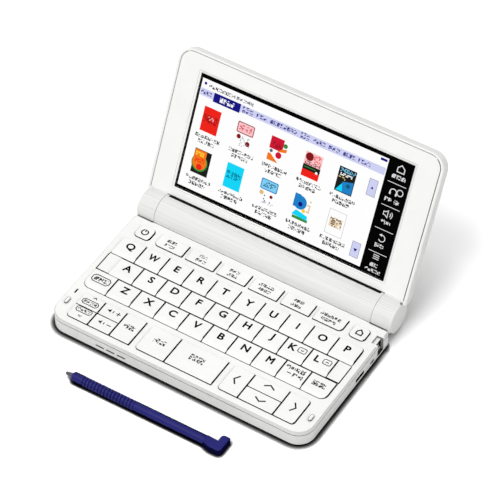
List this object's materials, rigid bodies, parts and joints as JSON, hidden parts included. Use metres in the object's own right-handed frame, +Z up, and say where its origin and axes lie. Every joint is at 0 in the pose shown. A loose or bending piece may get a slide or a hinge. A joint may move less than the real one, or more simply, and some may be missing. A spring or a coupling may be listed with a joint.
{
  "type": "electronic dictionary",
  "caption": "Clamshell electronic dictionary with a letter keyboard in its base, a touch screen in its hinged lid, cells in its hinge barrel and a loose stylus.",
  "frame": {"origin": "on the surface that the dictionary stands on, under the middle of its base", "axes": "+X to the right of the person typing, +Y from the front edge to the hinge, +Z up; modelled with its lid open and its stylus lying in front of it"},
  "size_m": [0.1508, 0.1556, 0.0877],
  "materials": {
    "shell": "satin",
    "key_caps": "satin",
    "bezel": "satin",
    "display": "gloss",
    "cells": "satin",
    "board": "satin",
    "sheet": "matte",
    "shafts": "satin",
    "feet": "matte",
    "stylus": "satin"
  },
  "bodies": {
    "base": {"lower_case": "shell", "keyboard_cover": "shell", "battery_cells": "cells", "circuit_board": "board", "keypad_sheet": "sheet", "hinge_shafts": "shafts", "rubber_feet": "feet"},
    "lid": {"lid_back": "shell", "lid_bezel": "bezel", "display_panel": "display"},
    "battery_cover": {"battery_cover": "shell"},
    "stylus": {"stylus": "stylus"},
    "key_a": {"key_a": "key_caps"},
    "key_arrow_down": {"key_arrow_down": "key_caps"},
    "key_arrow_left": {"key_arrow_left": "key_caps"},
    "key_arrow_right": {"key_arrow_right": "key_caps"},
    "key_arrow_up": {"key_arrow_up": "key_caps"},
    "key_b": {"key_b": "key_caps"},
    "key_back": {"key_back": "key_caps"},
    "key_c": {"key_c": "key_caps"},
    "key_d": {"key_d": "key_caps"},
    "key_delete": {"key_delete": "key_caps"},
    "key_e": {"key_e": "key_caps"},
    "key_enter": {"key_enter": "key_caps"},
    "key_f": {"key_f": "key_caps"},
    "key_g": {"key_g": "key_caps"},
    "key_h": {"key_h": "key_caps"},
    "key_history": {"key_history": "key_caps"},
    "key_home": {"key_home": "key_caps"},
    "key_i": {"key_i": "key_caps"},
    "key_j": {"key_j": "key_caps"},
    "key_k": {"key_k": "key_caps"},
    "key_l": {"key_l": "key_caps"},
    "key_m": {"key_m": "key_caps"},
    "key_menu_1": {"key_menu_1": "key_caps"},
    "key_menu_2": {"key_menu_2": "key_caps"},
    "key_menu_3": {"key_menu_3": "key_caps"},
    "key_menu_4": {"key_menu_4": "key_caps"},
    "key_menu_5": {"key_menu_5": "key_caps"},
    "key_menu_6": {"key_menu_6": "key_caps"},
    "key_n": {"key_n": "key_caps"},
    "key_o": {"key_o": "key_caps"},
    "key_p": {"key_p": "key_caps"},
    "key_power": {"key_power": "key_caps"},
    "key_q": {"key_q": "key_caps"},
    "key_r": {"key_r": "key_caps"},
    "key_s": {"key_s": "key_caps"},
    "key_shift": {"key_shift": "key_caps"},
    "key_space": {"key_space": "key_caps"},
    "key_t": {"key_t": "key_caps"},
    "key_u": {"key_u": "key_caps"},
    "key_v": {"key_v": "key_caps"},
    "key_volume_down": {"key_volume_down": "key_caps"},
    "key_volume_up": {"key_volume_up": "key_caps"},
    "key_w": {"key_w": "key_caps"},
    "key_x": {"key_x": "key_caps"},
    "key_y": {"key_y": "key_caps"},
    "key_z": {"key_z": "key_caps"},
    "key_zoom_in": {"key_zoom_in": "key_caps"},
    "key_zoom_out": {"key_zoom_out": "key_caps"}
  },
  "joints": [
    {"name": "lid_hinge", "type": "hinge", "parent": "base", "child": "lid", "pos_m": [0, 0.039, 0.01015], "axis": [1, 0, 0], "range_deg": [-33.5, 116.5]},
    {"name": "battery_cover_slide", "type": "slide", "parent": "base", "child": "battery_cover", "axis": [0, 1, 0], "range_m": [0, 0.02]},
    {"name": "stylus_lift", "type": "slide", "parent": "base", "child": "stylus", "axis": [0, 0, 1], "range_m": [0, 0.03]},
    {"name": "travel_a", "type": "slide", "parent": "base", "child": "key_a", "axis": [0, 0, -1], "range_m": [0, 0.0008], "stiffness_N_per_m": 400, "springref_m": -0.0005},
    {"name": "travel_arrow_down", "type": "slide", "parent": "base", "child": "key_arrow_down", "axis": [0, 0, -1], "range_m": [0, 0.0008], "stiffness_N_per_m": 400, "springref_m": -0.0005},
    {"name": "travel_arrow_left", "type": "slide", "parent": "base", "child": "key_arrow_left", "axis": [0, 0, -1], "range_m": [0, 0.0008], "stiffness_N_per_m": 400, "springref_m": -0.0005},
    {"name": "travel_arrow_right", "type": "slide", "parent": "base", "child": "key_arrow_right", "axis": [0, 0, -1], "range_m": [0, 0.0008], "stiffness_N_per_m": 400, "springref_m": -0.0005},
    {"name": "travel_arrow_up", "type": "slide", "parent": "base", "child": "key_arrow_up", "axis": [0, 0, -1], "range_m": [0, 0.0008], "stiffness_N_per_m": 400, "springref_m": -0.0005},
    {"name": "travel_b", "type": "slide", "parent": "base", "child": "key_b", "axis": [0, 0, -1], "range_m": [0, 0.0008], "stiffness_N_per_m": 400, "springref_m": -0.0005},
    {"name": "travel_back", "type": "slide", "parent": "base", "child": "key_back", "axis": [0, 0, -1], "range_m": [0, 0.0008], "stiffness_N_per_m": 400, "springref_m": -0.0005},
    {"name": "travel_c", "type": "slide", "parent": "base", "child": "key_c", "axis": [0, 0, -1], "range_m": [0, 0.0008], "stiffness_N_per_m": 400, "springref_m": -0.0005},
    {"name": "travel_d", "type": "slide", "parent": "base", "child": "key_d", "axis": [0, 0, -1], "range_m": [0, 0.0008], "stiffness_N_per_m": 400, "springref_m": -0.0005},
    {"name": "travel_delete", "type": "slide", "parent": "base", "child": "key_delete", "axis": [0, 0, -1], "range_m": [0, 0.0008], "stiffness_N_per_m": 400, "springref_m": -0.0005},
    {"name": "travel_e", "type": "slide", "parent": "base", "child": "key_e", "axis": [0, 0, -1], "range_m": [0, 0.0008], "stiffness_N_per_m": 400, "springref_m": -0.0005},
    {"name": "travel_enter", "type": "slide", "parent": "base", "child": "key_enter", "axis": [0, 0, -1], "range_m": [0, 0.0008], "stiffness_N_per_m": 400, "springref_m": -0.0005},
    {"name": "travel_f", "type": "slide", "parent": "base", "child": "key_f", "axis": [0, 0, -1], "range_m": [0, 0.0008], "stiffness_N_per_m": 400, "springref_m": -0.0005},
    {"name": "travel_g", "type": "slide", "parent": "base", "child": "key_g", "axis": [0, 0, -1], "range_m": [0, 0.0008], "stiffness_N_per_m": 400, "springref_m": -0.0005},
    {"name": "travel_h", "type": "slide", "parent": "base", "child": "key_h", "axis": [0, 0, -1], "range_m": [0, 0.0008], "stiffness_N_per_m": 400, "springref_m": -0.0005},
    {"name": "travel_history", "type": "slide", "parent": "base", "child": "key_history", "axis": [0, 0, -1], "range_m": [0, 0.0008], "stiffness_N_per_m": 400, "springref_m": -0.0005},
    {"name": "travel_home", "type": "slide", "parent": "base", "child": "key_home", "axis": [0, 0, -1], "range_m": [0, 0.0008], "stiffness_N_per_m": 400, "springref_m": -0.0005},
    {"name": "travel_i", "type": "slide", "parent": "base", "child": "key_i", "axis": [0, 0, -1], "range_m": [0, 0.0008], "stiffness_N_per_m": 400, "springref_m": -0.0005},
    {"name": "travel_j", "type": "slide", "parent": "base", "child": "key_j", "axis": [0, 0, -1], "range_m": [0, 0.0008], "stiffness_N_per_m": 400, "springref_m": -0.0005},
    {"name": "travel_k", "type": "slide", "parent": "base", "child": "key_k", "axis": [0, 0, -1], "range_m": [0, 0.0008], "stiffness_N_per_m": 400, "springref_m": -0.0005},
    {"name": "travel_l", "type": "slide", "parent": "base", "child": "key_l", "axis": [0, 0, -1], "range_m": [0, 0.0008], "stiffness_N_per_m": 400, "springref_m": -0.0005},
    {"name": "travel_m", "type": "slide", "parent": "base", "child": "key_m", "axis": [0, 0, -1], "range_m": [0, 0.0008], "stiffness_N_per_m": 400, "springref_m": -0.0005},
    {"name": "travel_menu_1", "type": "slide", "parent": "base", "child": "key_menu_1", "axis": [0, 0, -1], "range_m": [0, 0.0008], "stiffness_N_per_m": 400, "springref_m": -0.0005},
    {"name": "travel_menu_2", "type": "slide", "parent": "base", "child": "key_menu_2", "axis": [0, 0, -1], "range_m": [0, 0.0008], "stiffness_N_per_m": 400, "springref_m": -0.0005},
    {"name": "travel_menu_3", "type": "slide", "parent": "base", "child": "key_menu_3", "axis": [0, 0, -1], "range_m": [0, 0.0008], "stiffness_N_per_m": 400, "springref_m": -0.0005},
    {"name": "travel_menu_4", "type": "slide", "parent": "base", "child": "key_menu_4", "axis": [0, 0, -1], "range_m": [0, 0.0008], "stiffness_N_per_m": 400, "springref_m": -0.0005},
    {"name": "travel_menu_5", "type": "slide", "parent": "base", "child": "key_menu_5", "axis": [0, 0, -1], "range_m": [0, 0.0008], "stiffness_N_per_m": 400, "springref_m": -0.0005},
    {"name": "travel_menu_6", "type": "slide", "parent": "base", "child": "key_menu_6", "axis": [0, 0, -1], "range_m": [0, 0.0008], "stiffness_N_per_m": 400, "springref_m": -0.0005},
    {"name": "travel_n", "type": "slide", "parent": "base", "child": "key_n", "axis": [0, 0, -1], "range_m": [0, 0.0008], "stiffness_N_per_m": 400, "springref_m": -0.0005},
    {"name": "travel_o", "type": "slide", "parent": "base", "child": "key_o", "axis": [0, 0, -1], "range_m": [0, 0.0008], "stiffness_N_per_m": 400, "springref_m": -0.0005},
    {"name": "travel_p", "type": "slide", "parent": "base", "child": "key_p", "axis": [0, 0, -1], "range_m": [0, 0.0008], "stiffness_N_per_m": 400, "springref_m": -0.0005},
    {"name": "travel_power", "type": "slide", "parent": "base", "child": "key_power", "axis": [0, 0, -1], "range_m": [0, 0.0008], "stiffness_N_per_m": 400, "springref_m": -0.0005},
    {"name": "travel_q", "type": "slide", "parent": "base", "child": "key_q", "axis": [0, 0, -1], "range_m": [0, 0.0008], "stiffness_N_per_m": 400, "springref_m": -0.0005},
    {"name": "travel_r", "type": "slide", "parent": "base", "child": "key_r", "axis": [0, 0, -1], "range_m": [0, 0.0008], "stiffness_N_per_m": 400, "springref_m": -0.0005},
    {"name": "travel_s", "type": "slide", "parent": "base", "child": "key_s", "axis": [0, 0, -1], "range_m": [0, 0.0008], "stiffness_N_per_m": 400, "springref_m": -0.0005},
    {"name": "travel_shift", "type": "slide", "parent": "base", "child": "key_shift", "axis": [0, 0, -1], "range_m": [0, 0.0008], "stiffness_N_per_m": 400, "springref_m": -0.0005},
    {"name": "travel_space", "type": "slide", "parent": "base", "child": "key_space", "axis": [0, 0, -1], "range_m": [0, 0.0008], "stiffness_N_per_m": 400, "springref_m": -0.0005},
    {"name": "travel_t", "type": "slide", "parent": "base", "child": "key_t", "axis": [0, 0, -1], "range_m": [0, 0.0008], "stiffness_N_per_m": 400, "springref_m": -0.0005},
    {"name": "travel_u", "type": "slide", "parent": "base", "child": "key_u", "axis": [0, 0, -1], "range_m": [0, 0.0008], "stiffness_N_per_m": 400, "springref_m": -0.0005},
    {"name": "travel_v", "type": "slide", "parent": "base", "child": "key_v", "axis": [0, 0, -1], "range_m": [0, 0.0008], "stiffness_N_per_m": 400, "springref_m": -0.0005},
    {"name": "travel_volume_down", "type": "slide", "parent": "base", "child": "key_volume_down", "axis": [0, 0, -1], "range_m": [0, 0.0008], "stiffness_N_per_m": 400, "springref_m": -0.0005},
    {"name": "travel_volume_up", "type": "slide", "parent": "base", "child": "key_volume_up", "axis": [0, 0, -1], "range_m": [0, 0.0008], "stiffness_N_per_m": 400, "springref_m": -0.0005},
    {"name": "travel_w", "type": "slide", "parent": "base", "child": "key_w", "axis": [0, 0, -1], "range_m": [0, 0.0008], "stiffness_N_per_m": 400, "springref_m": -0.0005},
    {"name": "travel_x", "type": "slide", "parent": "base", "child": "key_x", "axis": [0, 0, -1], "range_m": [0, 0.0008], "stiffness_N_per_m": 400, "springref_m": -0.0005},
    {"name": "travel_y", "type": "slide", "parent": "base", "child": "key_y", "axis": [0, 0, -1], "range_m": [0, 0.0008], "stiffness_N_per_m": 400, "springref_m": -0.0005},
    {"name": "travel_z", "type": "slide", "parent": "base", "child": "key_z", "axis": [0, 0, -1], "range_m": [0, 0.0008], "stiffness_N_per_m": 400, "springref_m": -0.0005},
    {"name": "travel_zoom_in", "type": "slide", "parent": "base", "child": "key_zoom_in", "axis": [0, 0, -1], "range_m": [0, 0.0008], "stiffness_N_per_m": 400, "springref_m": -0.0005},
    {"name": "travel_zoom_out", "type": "slide", "parent": "base", "child": "key_zoom_out", "axis": [0, 0, -1], "range_m": [0, 0.0008], "stiffness_N_per_m": 400, "springref_m": -0.0005}
  ]
}
